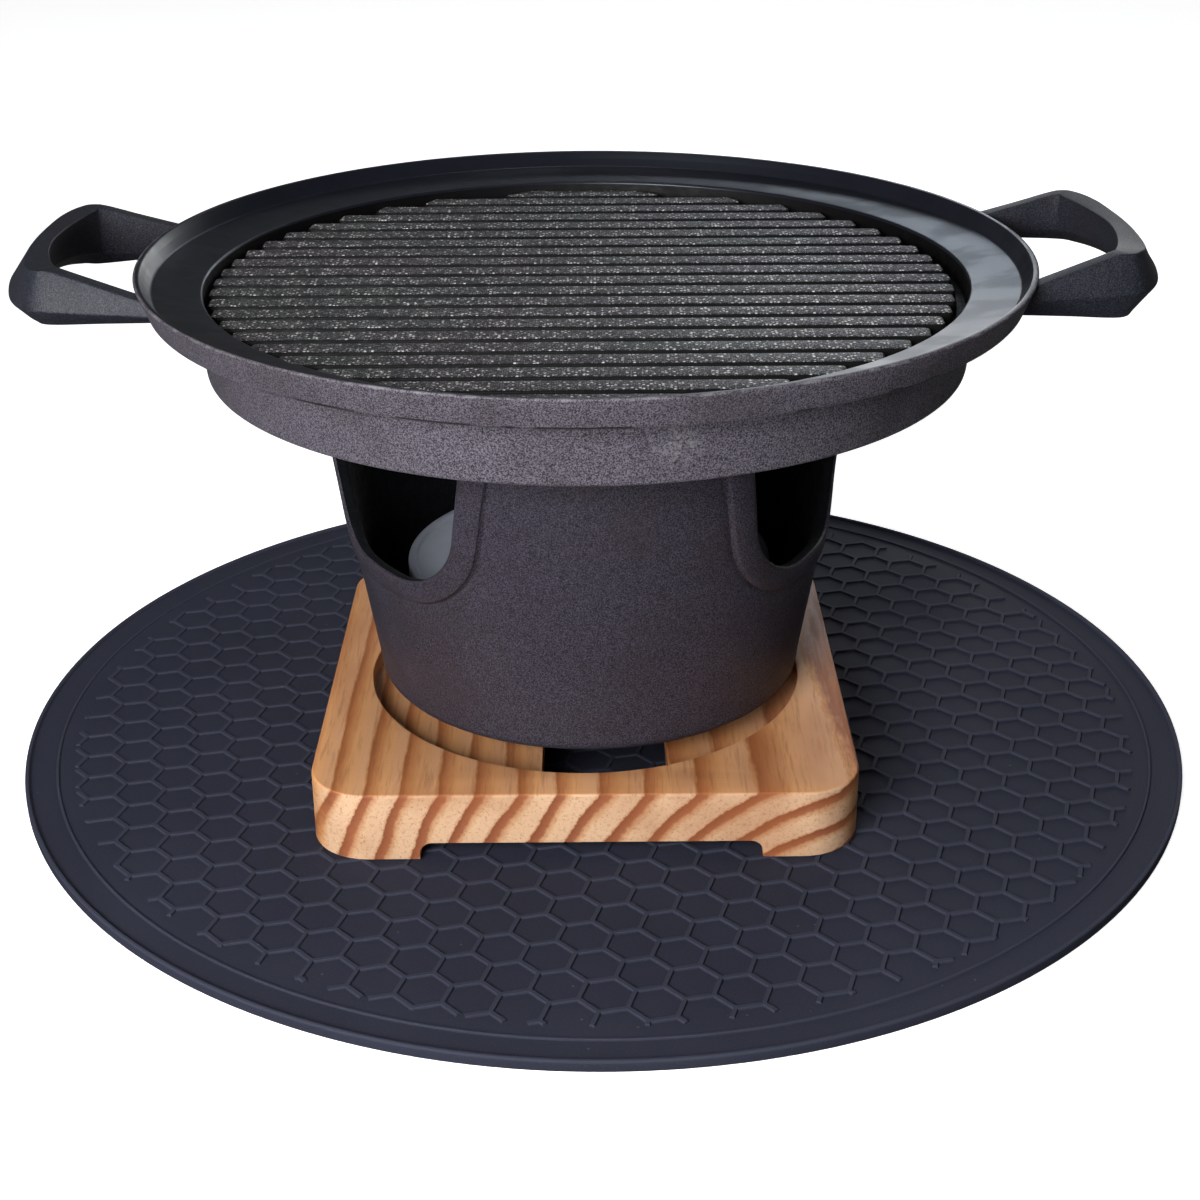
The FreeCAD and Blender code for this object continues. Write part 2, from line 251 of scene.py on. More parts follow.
def rib_coating():
    """Dark coating on the ribs, thick with bright flecks, most of them fine."""
    f = Finish("rib_coating")
    mottle = f.span(f.noise(2.2, 2.0, 0.85), 0.45, 0.70)
    small = f.dots(1.7, 0.42, 0.55)
    large = f.dots(1.0, 0.38, 0.28)
    tint = f.mix(f.span(f.noise(0.02, 2.0), 0.4, 0.6), srgb(136, 122, 132), srgb(110, 130, 120))
    dark = f.mix(f.noise(0.06, 3.0), srgb(24, 24, 27), srgb(38, 37, 41))
    colour = f.mix(f.math("MULTIPLY", mottle, 0.5), dark, tint)
    colour = f.mix(f.math("MULTIPLY", small, 0.7), colour, srgb(172, 170, 172))
    colour = f.mix(large, colour, srgb(246, 245, 242))
    f.set(Base_Color=colour, Roughness=f.span(f.noise(0.5), 0.3, 0.7, 0.42, 0.56), Specular_IOR_Level=0.3,
          Normal=f.bump(f.noise(2.2, 3.0, 0.75), 0.09))
    return f.material


def gutter_shade_coating():
    """Near-black painted shade between and around the ribs, also put on the ribs' lower sides."""
    f = Finish("gutter_shade_coating")
    colour = f.mix(f.span(f.noise(2.4, 3.0, 0.7), 0.5, 0.8), srgb(5, 5, 6), srgb(18, 18, 20))
    f.set(Base_Color=colour, Roughness=f.span(f.noise(0.4), 0.3, 0.7, 0.5, 0.65), Specular_IOR_Level=0.2,
          Normal=f.bump(f.noise(1.2, 3.0, 0.7), 0.08))
    return f.material


def painted_shade_inside():
    """Near-black painted shade for the inside of the stove and the notches' cut faces."""
    f = Finish("painted_shade_inside")
    colour = f.mix(f.span(f.noise(0.9, 4.0, 0.7), 0.35, 0.75), srgb(12, 14, 17), srgb(23, 25, 30))
    f.set(Base_Color=colour, Roughness=f.span(f.noise(0.3, 3.0), 0.3, 0.7, 0.7, 0.85),
          Specular_IOR_Level=0.15, Normal=f.bump(f.noise(2.0, 3.0, 0.7), 0.08))
    return f.material


def pine():
    """Oiled pine: growth rings about an axis that runs front to back, low under the right side."""
    f = Finish("oiled_pine")
    heart_x, heart_z = base_x + 88.0, field - 50.0
    ring_width = 9.2
    wander_width, ragged_width = 11.0, 1.3

    def swing(noise, full_width):
        """Noise as a shift of the rings, in millimetres, to either side."""
        return f.math("MULTIPLY", f.math("SUBTRACT", noise, 0.5), full_width)

    wander = swing(f.noise(0.018, 3.0, 0.5, f.stretched(1, 0.25, 1)), wander_width)
    ragged = swing(f.noise(0.6, 2.0, 0.6, f.stretched(1, 0.2, 1)), ragged_width)
    across = f.math("SUBTRACT", f.x, heart_x)
    up = f.math("SUBTRACT", f.z, heart_z)
    far = f.math("SQRT", f.math("ADD", f.math("MULTIPLY", across, across), f.math("MULTIPLY", up, up)))
    far = f.math("ADD", f.math("ADD", far, wander), ragged)
    ring = f.math("FRACT", f.math("DIVIDE", far, ring_width))
    end_grain = f.ramp(ring, (0.0, srgb(226, 187, 152)), (0.46, srgb(228, 188, 150)),
                       (0.62, srgb(208, 154, 112)), (0.70, srgb(166, 102, 70)), (0.92, srgb(142, 80, 52)),
                       (0.97, srgb(218, 174, 136)))
    long_grain = f.ramp(ring, (0.0, srgb(230, 174, 130)), (0.5, srgb(234, 170, 114)),
                        (0.72, srgb(210, 140, 88)), (0.92, srgb(170, 100, 60)), (0.98, srgb(222, 160, 106)))
    facing = f.node("ShaderNodeSeparateXYZ", {"Vector": f.normal}).outputs
    on_end = f.span(f.math("ABSOLUTE", facing[1]), 0.45, 0.8)
    colour = f.mix(on_end, long_grain, end_grain)
    fibres = f.noise(0.9, 3.0, 0.65, f.stretched(1, 0.06, 1))
    colour = f.mix(f.math("MULTIPLY", f.span(fibres, 0.5, 0.72), 0.35), colour, srgb(132, 84, 56))
    pores = f.span(f.noise(1.5, 2.0, 0.7, f.stretched(1, 0.12, 1)), 0.6, 0.72)
    colour = f.mix(f.math("MULTIPLY", f.math("MULTIPLY", pores, on_end), 0.6), colour, srgb(136, 84, 52))
    stain = f.span(f.noise(0.03, 3.0, 0.55, f.stretched(1, 0.4, 1)), 0.45, 0.7)
    colour = f.mix(f.math("MULTIPLY", stain, 0.4), colour, srgb(160, 92, 50))
    saw_marks = f.noise(1.6, 2.0, 0.6, f.stretched(0.03, 1, 0.03))
    relief = f.math("ADD", f.math("MULTIPLY", fibres, 0.6), f.math("MULTIPLY", saw_marks, 0.4))
    f.set(Base_Color=colour, Roughness=f.span(fibres, 0.3, 0.7, 0.5, 0.64), Specular_IOR_Level=0.22,
          Normal=f.bump(relief, 0.14))
    return f.material


def silicone():
    """Matt dark silicone with a little dust. The ridges' tops are painted a little paler than the cells, as a
    painted highlight.
    """
    f = Finish("silicone")
    cloud = f.noise(0.02, 3.0, 0.55)
    colour = f.mix(cloud, srgb(46, 48, 60), srgb(58, 60, 74))
    # painted highlight on the ridges' tops
    ridge_highlight = f.span(f.z, field - 0.3, field - 0.05)
    colour = f.mix(f.math("MULTIPLY", ridge_highlight, 0.35), colour, srgb(78, 81, 96))
    colour = f.mix(f.math("MULTIPLY", f.dots(0.11, 0.038, 1.0), 0.3), colour, srgb(120, 122, 130))
    fine_dust = f.span(f.noise(1.6, 3.0, 0.7), 0.5, 0.8)
    colour = f.mix(f.math("MULTIPLY", fine_dust, 0.3), colour, srgb(84, 86, 98))
    f.set(Base_Color=colour, Roughness=f.span(cloud, 0.3, 0.7, 0.6, 0.72), Specular_IOR_Level=0.04,
          Normal=f.bump(f.noise(2.0, 2.0, 0.6), 0.03))
    return f.material


def bare_aluminium():
    """Dull spun aluminium, with faint turning rings about the grill's axis."""
    f = Finish("bare_aluminium")
    from_axis = f.vector("MULTIPLY", f.vector("SUBTRACT", f.place, (grill_x, grill_y, 0)), (1, 1, 0))
    rings = f.node("ShaderNodeTexNoise", {
        "W": f.length(from_axis), "Scale": 2.2, "Detail": 3.0, "Roughness": 0.7,
    }, noise_dimensions="1D").outputs["Fac"]
    cloud = f.noise(0.08, 3.0)
    colour = f.mix(cloud, srgb(170, 175, 188), srgb(194, 200, 212))
    f.set(Base_Color=colour, Metallic=0.25, Roughness=f.span(rings, 0.25, 0.75, 0.5, 0.62),
          Normal=f.bump(rings, 0.03))
    return f.material


# ---------------------------------------------------------------- mesh helpers

def piece(name, points, faces, body, materials, sharp=32.0, paint=None):
    """A mesh that rides on a CAD body. paint gives a material number for each face."""
    mesh = bpy.data.meshes.new(name)
    mesh.from_pydata([Vector(p) * MM for p in points], [], faces)
    for material in materials:
        mesh.materials.append(material)
    if paint:
        mesh.polygons.foreach_set("material_index", paint)
    tidy = bmesh.new()
    tidy.from_mesh(mesh)
    bmesh.ops.remove_doubles(tidy, verts=tidy.verts, dist=0.001 * MM)
    bmesh.ops.recalc_face_normals(tidy, faces=tidy.faces)
    tidy.to_mesh(mesh)
    tidy.free()
    mesh.shade_smooth()
    mesh.set_sharp_from_angle(angle=math.radians(sharp))
    made = bpy.data.objects.new(name, mesh)
    bpy.context.scene.collection.objects.link(made)
    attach(made, body)
    return made


def bend(start, corner, end, steps):
    """Points along a curve that leaves start towards corner and arrives at end."""
    shares = [k / steps for k in range(steps + 1)]
    return [start * (1 - t) ** 2 + corner * (2 * t * (1 - t)) + end * t ** 2 for t in shares]


def joined(rings):
    """Faces between closed rings of vertices, each ring joined to the next."""
    faces = []
    for low, high in zip(rings, rings[1:]):
        for k in range(len(low)):
            n = (k + 1) % len(low)
            faces.append([low[k], low[n], high[n], high[k]])
    return faces


def softened(outline, closed=False, steps=4):
    """An outline of (a, b) or (a, b, radius) points, with its corners rounded."""
    result = []
    count = len(outline)
    for i, point in enumerate(outline):
        here = Vector(point[:2])
        radius = point[2] if len(point) > 2 else 0.0
        if radius <= 0 or (not closed and i in (0, count - 1)):
            result.append(tuple(here))
            continue
        before = Vector(outline[i - 1][:2]) - here
        after = Vector(outline[(i + 1) % count][:2]) - here
        reach = radius / math.tan(max(before.angle(after), 0.05) / 2)
        reach = min(reach, 0.48 * before.length, 0.48 * after.length)
        start = here + before.normalized() * reach
        end = here + after.normalized() * reach
        result += [tuple(spot) for spot in bend(start, here, end, steps)]
    return result


def turned(outline, centre, lift, steps=216):
    """Points and faces of an outline turned about a vertical axis. It starts and ends on the axis."""
    points, rings = [], []
    for radius, height in outline:
        start = len(points)
        if radius < 1e-6:
            points.append((centre[0], centre[1], height + lift))
            rings.append([start] * steps)
            continue
        for k in range(steps):
            angle = 2 * math.pi * k / steps
            points.append((centre[0] + radius * math.cos(angle), centre[1] + radius * math.sin(angle),
                           height + lift))
        rings.append(list(range(start, start + steps)))
    faces = [list(dict.fromkeys(corners)) for corners in joined(rings)]     # triangles at the axis
    return points, faces


# ---------------------------------------------------------------- silicone mat

cell_pitch = 13.2
cell_turn = math.radians(13.0)
cell_origin = Vector((25.9, -115.6))        # middle of one cell
comb_radius = 168.0                         # ridges reach this far out
ridge_half_width = 0.55
ridge_flank = 0.3
cell_depth = 0.55
stub_shortest, stub_clearance = 0.3, 1.4    # least length of a cut-off ridge, and its gap to the next node
line_outer = mat_radius - 9.2               # the thin raised line near the edge
line_width, line_flank, line_drop = 1.1, 0.25, 0.05
edge_width, edge_flank = 1.1, 0.4           # the thin rim along the edge


def comb_cells():
    """Middles of the honeycomb's cells that matter, by their place in the lattice."""
    step_a = Vector((math.cos(cell_turn - math.pi / 6), math.sin(cell_turn - math.pi / 6))) * cell_pitch
    step_b = Vector((math.cos(cell_turn + math.pi / 2), math.sin(cell_turn + math.pi / 2))) * cell_pitch
    reach = 34                                  # more steps than the mat is wide
    found = {}
    for a in range(-reach, reach + 1):
        for b in range(-reach, reach + 1):
            spot = cell_origin + step_a * a + step_b * b
            if spot.length < comb_radius + cell_pitch:
                found[(a, b)] = spot
    return found


def silicone_mat():
    """The mat as one closed mesh. Nodes are where three of the honeycomb's cells meet, and edges are its
    ridges."""
    top, low = field, field - cell_depth
    corner_reach = cell_pitch / math.sqrt(3)
    spots = comb_cells()
    nodes, edges, around = {}, {}, {}

    def node_near(place):
        """The name of the node at a place. Neighbouring cells that meet there get the same one."""
        per_mm = 5
        name = (round(place.x * per_mm), round(place.y * per_mm))
        close_by = ((name[0] + i, name[1] + j) for i in (0, -1, 1) for j in (0, -1, 1))
        name = next((n for n in close_by if n in nodes), name)
        nodes.setdefault(name, place)
        return name

    for key, spot in spots.items():
        ring = []
        for k in range(6):
            angle = cell_turn + math.radians(60 * k)
            ring.append(node_near(spot + Vector((math.cos(angle), math.sin(angle))) * corner_reach))
        around[key] = ring
        for k in range(6):
            pair = frozenset((ring[k], ring[(k + 1) % 6]))
            edges.setdefault(pair, []).append(key)
    kept = {pair for pair, sides in edges.items()
            if len(sides) == 2 and all(nodes[n].length < comb_radius for n in pair)}
    bm = bmesh.new()

    def corner(node, cell, foot):
        """A ridge corner beside a node, on one cell's side: on the ridge's top, or at its foot."""
        away = (spots[cell] - nodes[node]).normalized()
        reach = (ridge_half_width + (ridge_flank if foot else 0)) * 2 / math.sqrt(3)
        place = nodes[node] + away * reach
        return bm.verts.new((place.x, place.y, low if foot else top))

    made = {}
    cells_at = {}
    for cell, ring in around.items():
        for node in ring:
            cells_at.setdefault(node, []).append(cell)
    used = {node for pair in kept for node in pair}
    for node in used:
        for cell in cells_at[node]:
            made[(node, cell)] = (corner(node, cell, False), corner(node, cell, True))
        bm.faces.new([made[(node, cell)][0] for cell in cells_at[node]])
    for pair in kept:
        (a, b), (left, right) = tuple(pair), edges[pair]
        bm.faces.new([made[(a, left)][0], made[(b, left)][0], made[(b, right)][0], made[(a, right)][0]])
        for side in (left, right):
            bm.faces.new([made[(a, side)][0], made[(b, side)][0], made[(b, side)][1], made[(a, side)][1]])
    # ridges that leave the honeycomb, cut off at its outer circle
    for pair, sides in edges.items():
        if pair in kept or len(sides) < 2:
            continue
        for node in pair & used:
            start = nodes[node]
            (beyond,) = pair - {node}
            gap = nodes[beyond] - start
            along = gap.normalized()
            outward = start.dot(along)
            to_circle = math.sqrt(outward ** 2 + comb_radius ** 2 - start.length_squared) - outward
            step = along.to_3d() * max(stub_shortest, min(to_circle, gap.length - stub_clearance))
            left, right = [made[(node, side)] + tuple(bm.verts.new(v.co + step) for v in made[(node, side)])
                           for side in sides]
            bm.faces.new([left[0], left[2], right[2], right[0]])
            bm.faces.new([left[2], left[3], right[3], right[2]])
            for top_near, foot_near, top_far, foot_far in (left, right):
                bm.faces.new([top_near, top_far, foot_far, foot_near])
    for cell, ring in around.items():
        if all(frozenset((ring[k], ring[(k + 1) % 6])) in kept for k in range(6)):
            bm.faces.new([made[(node, cell)][1] for node in ring])

    # the border, from the open edge of the honeycomb to the mat's edge and underside
    steps = 240
    line_inner, line_top = line_outer - line_width, field - line_drop
    edge_inner = mat_radius - edge_width
    outline = softened([
        (line_inner, low), (line_inner + line_flank, line_top, 0.2), (line_outer - line_flank, line_top, 0.2),
        (line_outer, low), (edge_inner - edge_flank, low, 0.3), (edge_inner, mat_top, 0.3),
        (mat_radius, mat_top, 0.5), (mat_radius, 0.0, 0.7), (0.0, 0.0)], steps=3)
    angles = [2 * math.pi * k / steps for k in range(steps)]
    rings = []
    for radius, height in outline[:-1]:
        rings.append([bm.verts.new((radius * math.cos(a), radius * math.sin(a), height)) for a in angles])
    for inner, outer in zip(rings, rings[1:]):
        for k in range(steps):
            n = (k + 1) % steps
            bm.faces.new([inner[k], outer[k], outer[n], inner[n]])
    bm.faces.new(rings[-1])

    # the flat ground between the cut-off ridges and the thin line
    open_edges = [e for e in bm.edges if len(e.link_faces) == 1]
    bmesh.ops.triangle_fill(bm, edges=open_edges, use_beauty=True)
    points = [tuple(v.co) for v in bm.verts]
    bm.verts.index_update()
    faces = [[v.index for v in f.verts] for f in bm.faces]
    bm.free()
    mat = piece("silicone_mat_relief", points, faces, "mat", [silicone()])
    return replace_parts(mat, "silicone_mat")


# ---------------------------------------------------------------- stove

stove_taper = 0.1617
stove_wall = 3.2
notch_directions = (-146.4, -24.9, 94.4)    # degrees from +X
notch_bottom = 72.0
notch_low_half_width = 29.0                 # at the bottom, where the leaning sides would reach it
notch_side_slope = 0.279
notch_corner_radius = 25.0
wall_bottom = 30.5                          # where the straight wall begins
wall_bottom_radius = 66.31
floor_edge_radius, floor_edge_rounding = 65.5, 7.0      # outside, where the wall turns into the underside
floor_inside_radius = 58.7
floor_thickness = 3.5
foot_inner, foot_outer, foot_height = 42.0, 48.0, 7.9   # the ring under the floor
OUTSIDE, INSIDE = 0, 1                      # the stove's materials
# (distance from the notch's edge, how far the outside stands out, how far the inside gives way)
band_profile = ((0.0, 0.0, 1.0), (0.2, 0.45, 0.7), (0.7, 0.85, 0.4), (1.5, 1.08, 0.15), (3.2, 1.18, 0.0),
                (5.0, 1.15, 0.0), (6.2, 1.05, 0.0), (6.7, 0.8, 0.0), (7.0, -0.1, 0.0), (7.6, -0.5, 0.0),
                (8.4, -0.3, 0.0), (9.6, 0.0, 0.0))


def stove_radius(height):
    return wall_bottom_radius + stove_taper * (height - wall_bottom)


def skin_radius(height, skin):
    """Radius of the wall's outside, skin 1, or its inside, skin -1."""
    return stove_radius(height) - (stove_wall if skin < 0 else 0)


def notch_rays():
    """For one side of a notch, rays out of its edge from the top to the middle of the bottom. Each is a
    function of the distance from the edge, giving sideways place and height. With it come how far along the
    sector's border the ray ends (0 to 1 down its side, 1 to 2 along its bottom) and a height. Rays from the
    leaning side have no such share and end at their own height."""
    lean = math.atan(notch_side_slope)
    flat_end = notch_low_half_width - notch_corner_radius * math.tan((math.pi / 2 - lean) / 2)
    centre = notch_bottom + notch_corner_radius
    side_foot = (flat_end + notch_corner_radius * math.cos(lean),
                 centre - notch_corner_radius * math.sin(lean))
    side_steps, arc_steps, flat_steps = 9, 26, 4      # arc and flat together make an even number

    def on_side(height, turn):
        """A ray from the leaning side, level at the top and square to the side at its foot."""
        def ray(distance):
            now = height - distance * math.sin(lean) * turn
            return side_foot[0] + notch_side_slope * (now - side_foot[1]) + distance / math.cos(lean), now
        return ray

    def on_corner(angle):
        return lambda distance: (flat_end + (notch_corner_radius + distance) * math.cos(angle),
                                 centre + (notch_corner_radius + distance) * math.sin(angle))

    rays = []
    for k in range(side_steps):
        share = k / side_steps
        height = stove_top + (side_foot[1] - stove_top) * share
        rays.append((on_side(height, share), None, height))
    border_steps = arc_steps + flat_steps
    for k in range(arc_steps + 1):
        angle = -lean - (math.pi / 2 - lean) * k / arc_steps
        rays.append((on_corner(angle), 2 * k / border_steps, side_foot[1]))
    for k in range(1, flat_steps + 1):
        along = flat_end * (1 - k / flat_steps)
        rays.append((lambda distance, u=along: (u, notch_bottom - distance),
                     2 * (arc_steps + k) / border_steps, side_foot[1]))
    return rays


def border_place(share, height, half_sector):
    """Where a ray ends: the angle from the notch's middle, and the height."""
    if share is None:
        return half_sector, height
    if share <= 1:
        return half_sector, height + (wall_bottom - height) * share
    return half_sector * (2 - share), wall_bottom


def stove_body():
    points, faces, paint = [], [], []
    fill_steps = 9
    border = {1: {}, -1: {}}                # vertices along the wall's bottom edge, by angle

    def put(angle, height, radius):
        turn = math.radians(angle)
        points.append((grill_x + radius * math.cos(turn), grill_y + radius * math.sin(turn), height + field))
        return len(points) - 1

    def face(corners, kind):
        faces.append(corners)
        paint.append(kind)

    one_side = notch_rays()
    for place, direction in enumerate(notch_directions):
        after = (notch_directions[(place + 1) % 3] - direction) % 360 / 2
        before = (direction - notch_directions[place - 1]) % 360 / 2
        rays = [(ray, 1, border_place(share, height, after)) for ray, share, height in one_side]
        rays += [(ray, -1, border_place(share, height, before))
                 for ray, share, height in reversed(one_side[:-1])]
        skins = {}
        for skin in (1, -1):
            rows = []
            for ray, side, (end_angle, end_height) in rays:
                row = []
                for distance, proud, sunk in band_profile:
                    sideways, height = ray(distance)
                    radius = skin_radius(height, skin)
                    angle = math.degrees(math.asin(sideways / radius))
                    radius += proud if skin > 0 else sunk
                    row.append(put(direction + side * angle, height, radius))
                for k in range(1, fill_steps + 1):
                    share = k / fill_steps
                    now_angle = angle + (end_angle - angle) * share
                    now_height = height + (end_height - height) * share
                    row.append(put(direction + side * now_angle, now_height, skin_radius(now_height, skin)))
                rows.append(row)
                if abs(end_height - wall_bottom) < 1e-6:
                    border[skin][round((direction + side * end_angle) % 360, 3)] = row[-1]
            for one, other in zip(rows, rows[1:]):
                for k in range(len(one) - 1):
                    face([one[k], one[k + 1], other[k + 1], other[k]], OUTSIDE if skin > 0 else INSIDE)
            skins[skin] = rows
        # the notches' cut faces take the inside's near-black painted shade
        for one, other, one_in, other_in in zip(skins[1], skins[1][1:], skins[-1], skins[-1][1:]):
            face([one[0], other[0], other_in[0], one_in[0]], INSIDE)
        for row in (0, -1):
            outer, inner = skins[1][row], skins[-1][row]
            for k in range(len(outer) - 1):
                face([outer[k], outer[k + 1], inner[k + 1], inner[k]], OUTSIDE)

    underside = stove_foot + foot_height
    floor = underside + floor_thickness
    below = softened([
        (wall_bottom_radius, wall_bottom), (floor_edge_radius, underside, floor_edge_rounding),
        (foot_outer, underside, 0.8), (foot_outer, stove_foot, 0.8), (foot_inner, stove_foot, 0.8),
        (foot_inner, underside, 0.8), (0.0, underside)], steps=8)
    inside = softened([
        (wall_bottom_radius - stove_wall, wall_bottom), (floor_inside_radius, floor, 2.0),
        (0.0, floor)], steps=5)
    for skin, outline in ((1, below), (-1, inside)):
        angles = sorted(border[skin])
        rings = [[border[skin][a] for a in angles]]
        for radius, height in outline[1:]:
            rings.append([put(a, height, radius) for a in angles])
        for corners in joined(rings):
            face(corners, OUTSIDE if skin > 0 else INSIDE)
    outside = heat_paint("stove_paint", srgb(22, 20, 26), srgb(80, 75, 88), scuffs=0.12).material
    stove = piece("stove_body_cast", points, faces, "stove", [outside, painted_shade_inside()],
                  sharp=38, paint=paint)
    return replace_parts(stove, "stove_body")


# ---------------------------------------------------------------- grill plate

plate_underside = 137.0
ring_gap, ring_width, ring_bottom = 2.0, 3.0, 133.0     # the locating ring inside the stove's top
skirt_inner, skirt_outer, skirt_bottom = 107.9, 111.5, 124.8
skirt_top_radius = 113.8
flange_radius, flange_bottom = 126.6, 145.6
dish_inner_radius, dish_inner_height = 111.0, 147.8
# (radius, height, rounding) from the lip's top inwards
dish_profile = ((128.1, rim_top, 0.7), (126.9, 152.2, 2.0), (125.3, 149.75, 1.2), (118.0, 148.7, 3.0),
                (dish_inner_radius, dish_inner_height, 0.9))
gutter_floor = 141.0
rib_count = 21
rib_pitch = 10.45
rib_top = 145.3
rib_half_width, rib_rounding = 3.95, 1.9
rib_field_radius = 108.4                    # the ribs' ends touch this circle with their middles
rib_trim_radius = 109.9                     # and their outlines' corners stay inside this one
rib_shift = Vector((-1.3, 0.9))             # of the whole field of ribs, off the plate's middle
# (distance inwards from the rib's outline, height), from its foot up
rib_levels = ((-0.4, gutter_floor - 0.3), (-0.08, rib_top - 1.0), (0.08, rib_top - 0.42),
              (0.32, rib_top - 0.14), (0.9, rib_top))
rib_shaded_bands = 3                          # bands between the levels that carry the gutter's painted shade, from its foot up
CASTING, DISH, GUTTER_SHADE, RIB_TOP = range(4)   # the plate's materials


def rim_surface(height):
    """Outer radius of the plate's flange at a height above the field."""
    return flange_radius + (rim_radius - flange_radius) * (height - flange_bottom) / (rim_top - flange_bottom)


def inset(outline, distance):
    """A convex outline moved inwards."""
    moved = []
    for i, here in enumerate(outline):
        before, after = outline[i - 1], outline[(i + 1) % len(outline)]
        first = (here - before).normalized()
        second = (after - here).normalized()
        normal_a, normal_b = Vector((-first.y, first.x)), Vector((-second.y, second.x))
        both = normal_a + normal_b
        moved.append(here + both * (distance / both.dot(normal_a)))
    return moved


def rib(index, points, faces, paint):
    """One rib: a rounded outline at several heights, wider at its foot, with a soft upper edge. Its top has
    the flecked coating, and its sides carry the gutter's near-black painted shade."""
    y = rib_pitch * index
    long_half = math.sqrt(rib_field_radius ** 2 - y ** 2)

    def end(side):
        edge = y + side * rib_half_width
        return min(long_half, math.sqrt(max(rib_trim_radius ** 2 - edge ** 2, 0)))

    near, far = y - rib_half_width, y + rib_half_width
    near_end, far_end = end(-1), end(1)
    plan = [Vector((-near_end, near)), Vector((near_end, near)),
            Vector((far_end, far)), Vector((-far_end, far))]
    rings = []
    for distance, height in rib_levels:
        corners = [(p.x, p.y, rib_rounding - distance) for p in inset(plan, distance)]
        ring = softened(corners, closed=True, steps=5)
        start = len(points)
        for x, y_now in ring:
            points.append((grill_x + rib_shift.x + x, grill_y + rib_shift.y + y_now, height + field))
        rings.append(list(range(start, len(points))))
    faces += joined(rings)
    # the lower side bands take the gutter's near-black, as painted shade in the grooves
    for band, ring in enumerate(rings[:-1]):
        paint += [GUTTER_SHADE if band < rib_shaded_bands else RIB_TOP] * len(ring)
    faces += [rings[-1], rings[0][::-1]]
    paint += [RIB_TOP, GUTTER_SHADE]


def plate_coat(radius, height):
    """The material at a place on the plate's turned outline."""
    margin = 0.1
    if height <= plate_underside + margin:
        return CASTING
    dish_coat_edge = min(rim_radius - 0.9, rim_surface(height) - 0.8)   # just inside the lip's outer edge
    dish_coat_bottom = dish_inner_height - 0.8
    if radius < dish_coat_edge and height > dish_coat_bottom:
        return DISH
    # the dish's inner wall and the gutter floor get near-black painted shade
    return GUTTER_SHADE if radius < dish_inner_radius + margin else CASTING


def grill_plate():
    ring_outer = stove_radius(plate_underside) - stove_wall - ring_gap
    ring_inner = ring_outer - ring_width
    outline = softened([
        (0.0, plate_underside), (ring_inner, plate_underside, 0.6), (ring_inner, ring_bottom, 0.6),
        (ring_outer, ring_bottom, 0.6), (ring_outer, plate_underside, 0.6),
        (skirt_inner, plate_underside, 1.5), (skirt_inner, skirt_bottom, 0.9),
        (skirt_outer, skirt_bottom, 1.2), (skirt_top_radius, flange_bottom, 1.4),
        (flange_radius, flange_bottom, 0.9), (rim_radius, rim_top, 0.8), *dish_profile,
        (dish_inner_radius - 0.4, gutter_floor, 0.8), (0.0, gutter_floor)], steps=5)
    steps = 240
    points, faces = turned(outline, (grill_x, grill_y), field, steps)
    paint = []
    for (r_low, z_low), (r_high, z_high) in zip(outline, outline[1:]):
        paint += [plate_coat((r_low + r_high) / 2, (z_low + z_high) / 2)] * steps
    for number in range(rib_count):
        rib(number - rib_count // 2, points, faces, paint)
    plate = piece("grill_plate_cast", points, faces, "plate",
                  [plate_outside(), dish_coating(), gutter_shade_coating(), rib_coating()], sharp=40, paint=paint)
    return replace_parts(plate, "grill_plate")


# ---------------------------------------------------------------- handles

handle_turn = 1.9                           # degrees
root_depth = 0.7                            # how far the arms' ends sink into the plate
# Half a loop, from its root to its middle. Each section gives the outward distance, sideways distance and
# height of its top inner edge, top outer edge, widest edge, bottom outer edge and bottom inner edge.
half_loop = (
    ((118.0, 36.0, 151.7), (118.0, 41.2, 151.7), (118.0, 42.1, 148.7),
     (118.0, 38.6, 146.2), (118.0, 36.6, 147.6)),
    ((145.3, 32.1, 160.6), (147.0, 37.0, 160.9), (149.0, 40.6, 150.3),
     (148.6, 36.2, 145.4), (144.3, 34.4, 149.1)),
    ((147.2, 29.6, 160.7), (152.3, 35.3, 160.8), (155.5, 37.2, 150.2),
     (153.0, 32.6, 145.4), (148.6, 31.0, 149.3)),
    ((149.6, 22.8, 160.4), (156.4, 26.8, 160.4), (161.2, 27.2, 150.0),
     (157.6, 24.8, 145.4), (152.6, 23.0, 149.4)),
    ((152.2, 12.0, 160.1), (158.3, 13.0, 160.1), (164.9, 12.8, 150.0),
     (160.9, 12.0, 145.4), (155.8, 11.6, 149.5)),
    ((153.4, 0.0, 160.0), (158.9, 0.0, 160.0), (166.3, 0.0, 150.0),
     (162.0, 0.0, 145.4), (157.0, 0.0, 149.5)),
)
deep_arm_drops = (1.9, 3.1, 2.0, 0.6, 0.0)  # one arm's bottom edges lie lower, section by section
first_bottom_edge = 3                       # a section's bottom edges come from this place on


def on_rim(outside, inside):
    """Where the line between two points dips just under the plate's outer face."""
    low, high = 0.0, 1.0
    for _ in range(30):
        share = (low + high) / 2
        now = inside.lerp(outside, share)
        if math.hypot(now.x, now.y) < rim_surface(now.z) - root_depth:
            low = share
        else:
            high = share
    return inside.lerp(outside, low)


def between(before, here, after, beyond, t):
    """A smooth curve through here and after."""
    return 0.5 * (2 * here + (after - before) * t + (2 * before - 5 * here + 4 * after - beyond) * t ** 2
                  + (3 * here - before - 3 * after + beyond) * t ** 3)


def rounded_section(corners, radius=0.55, steps=3):
    """A section's corners, rounded."""
    result = []
    for i, here in enumerate(corners):
        before, after = corners[i - 1] - here, corners[(i + 1) % len(corners)] - here
        start = here + before.normalized() * min(radius, 0.4 * before.length)
        end = here + after.normalized() * min(radius, 0.4 * after.length)
        result += bend(start, here, end, steps)
    return result


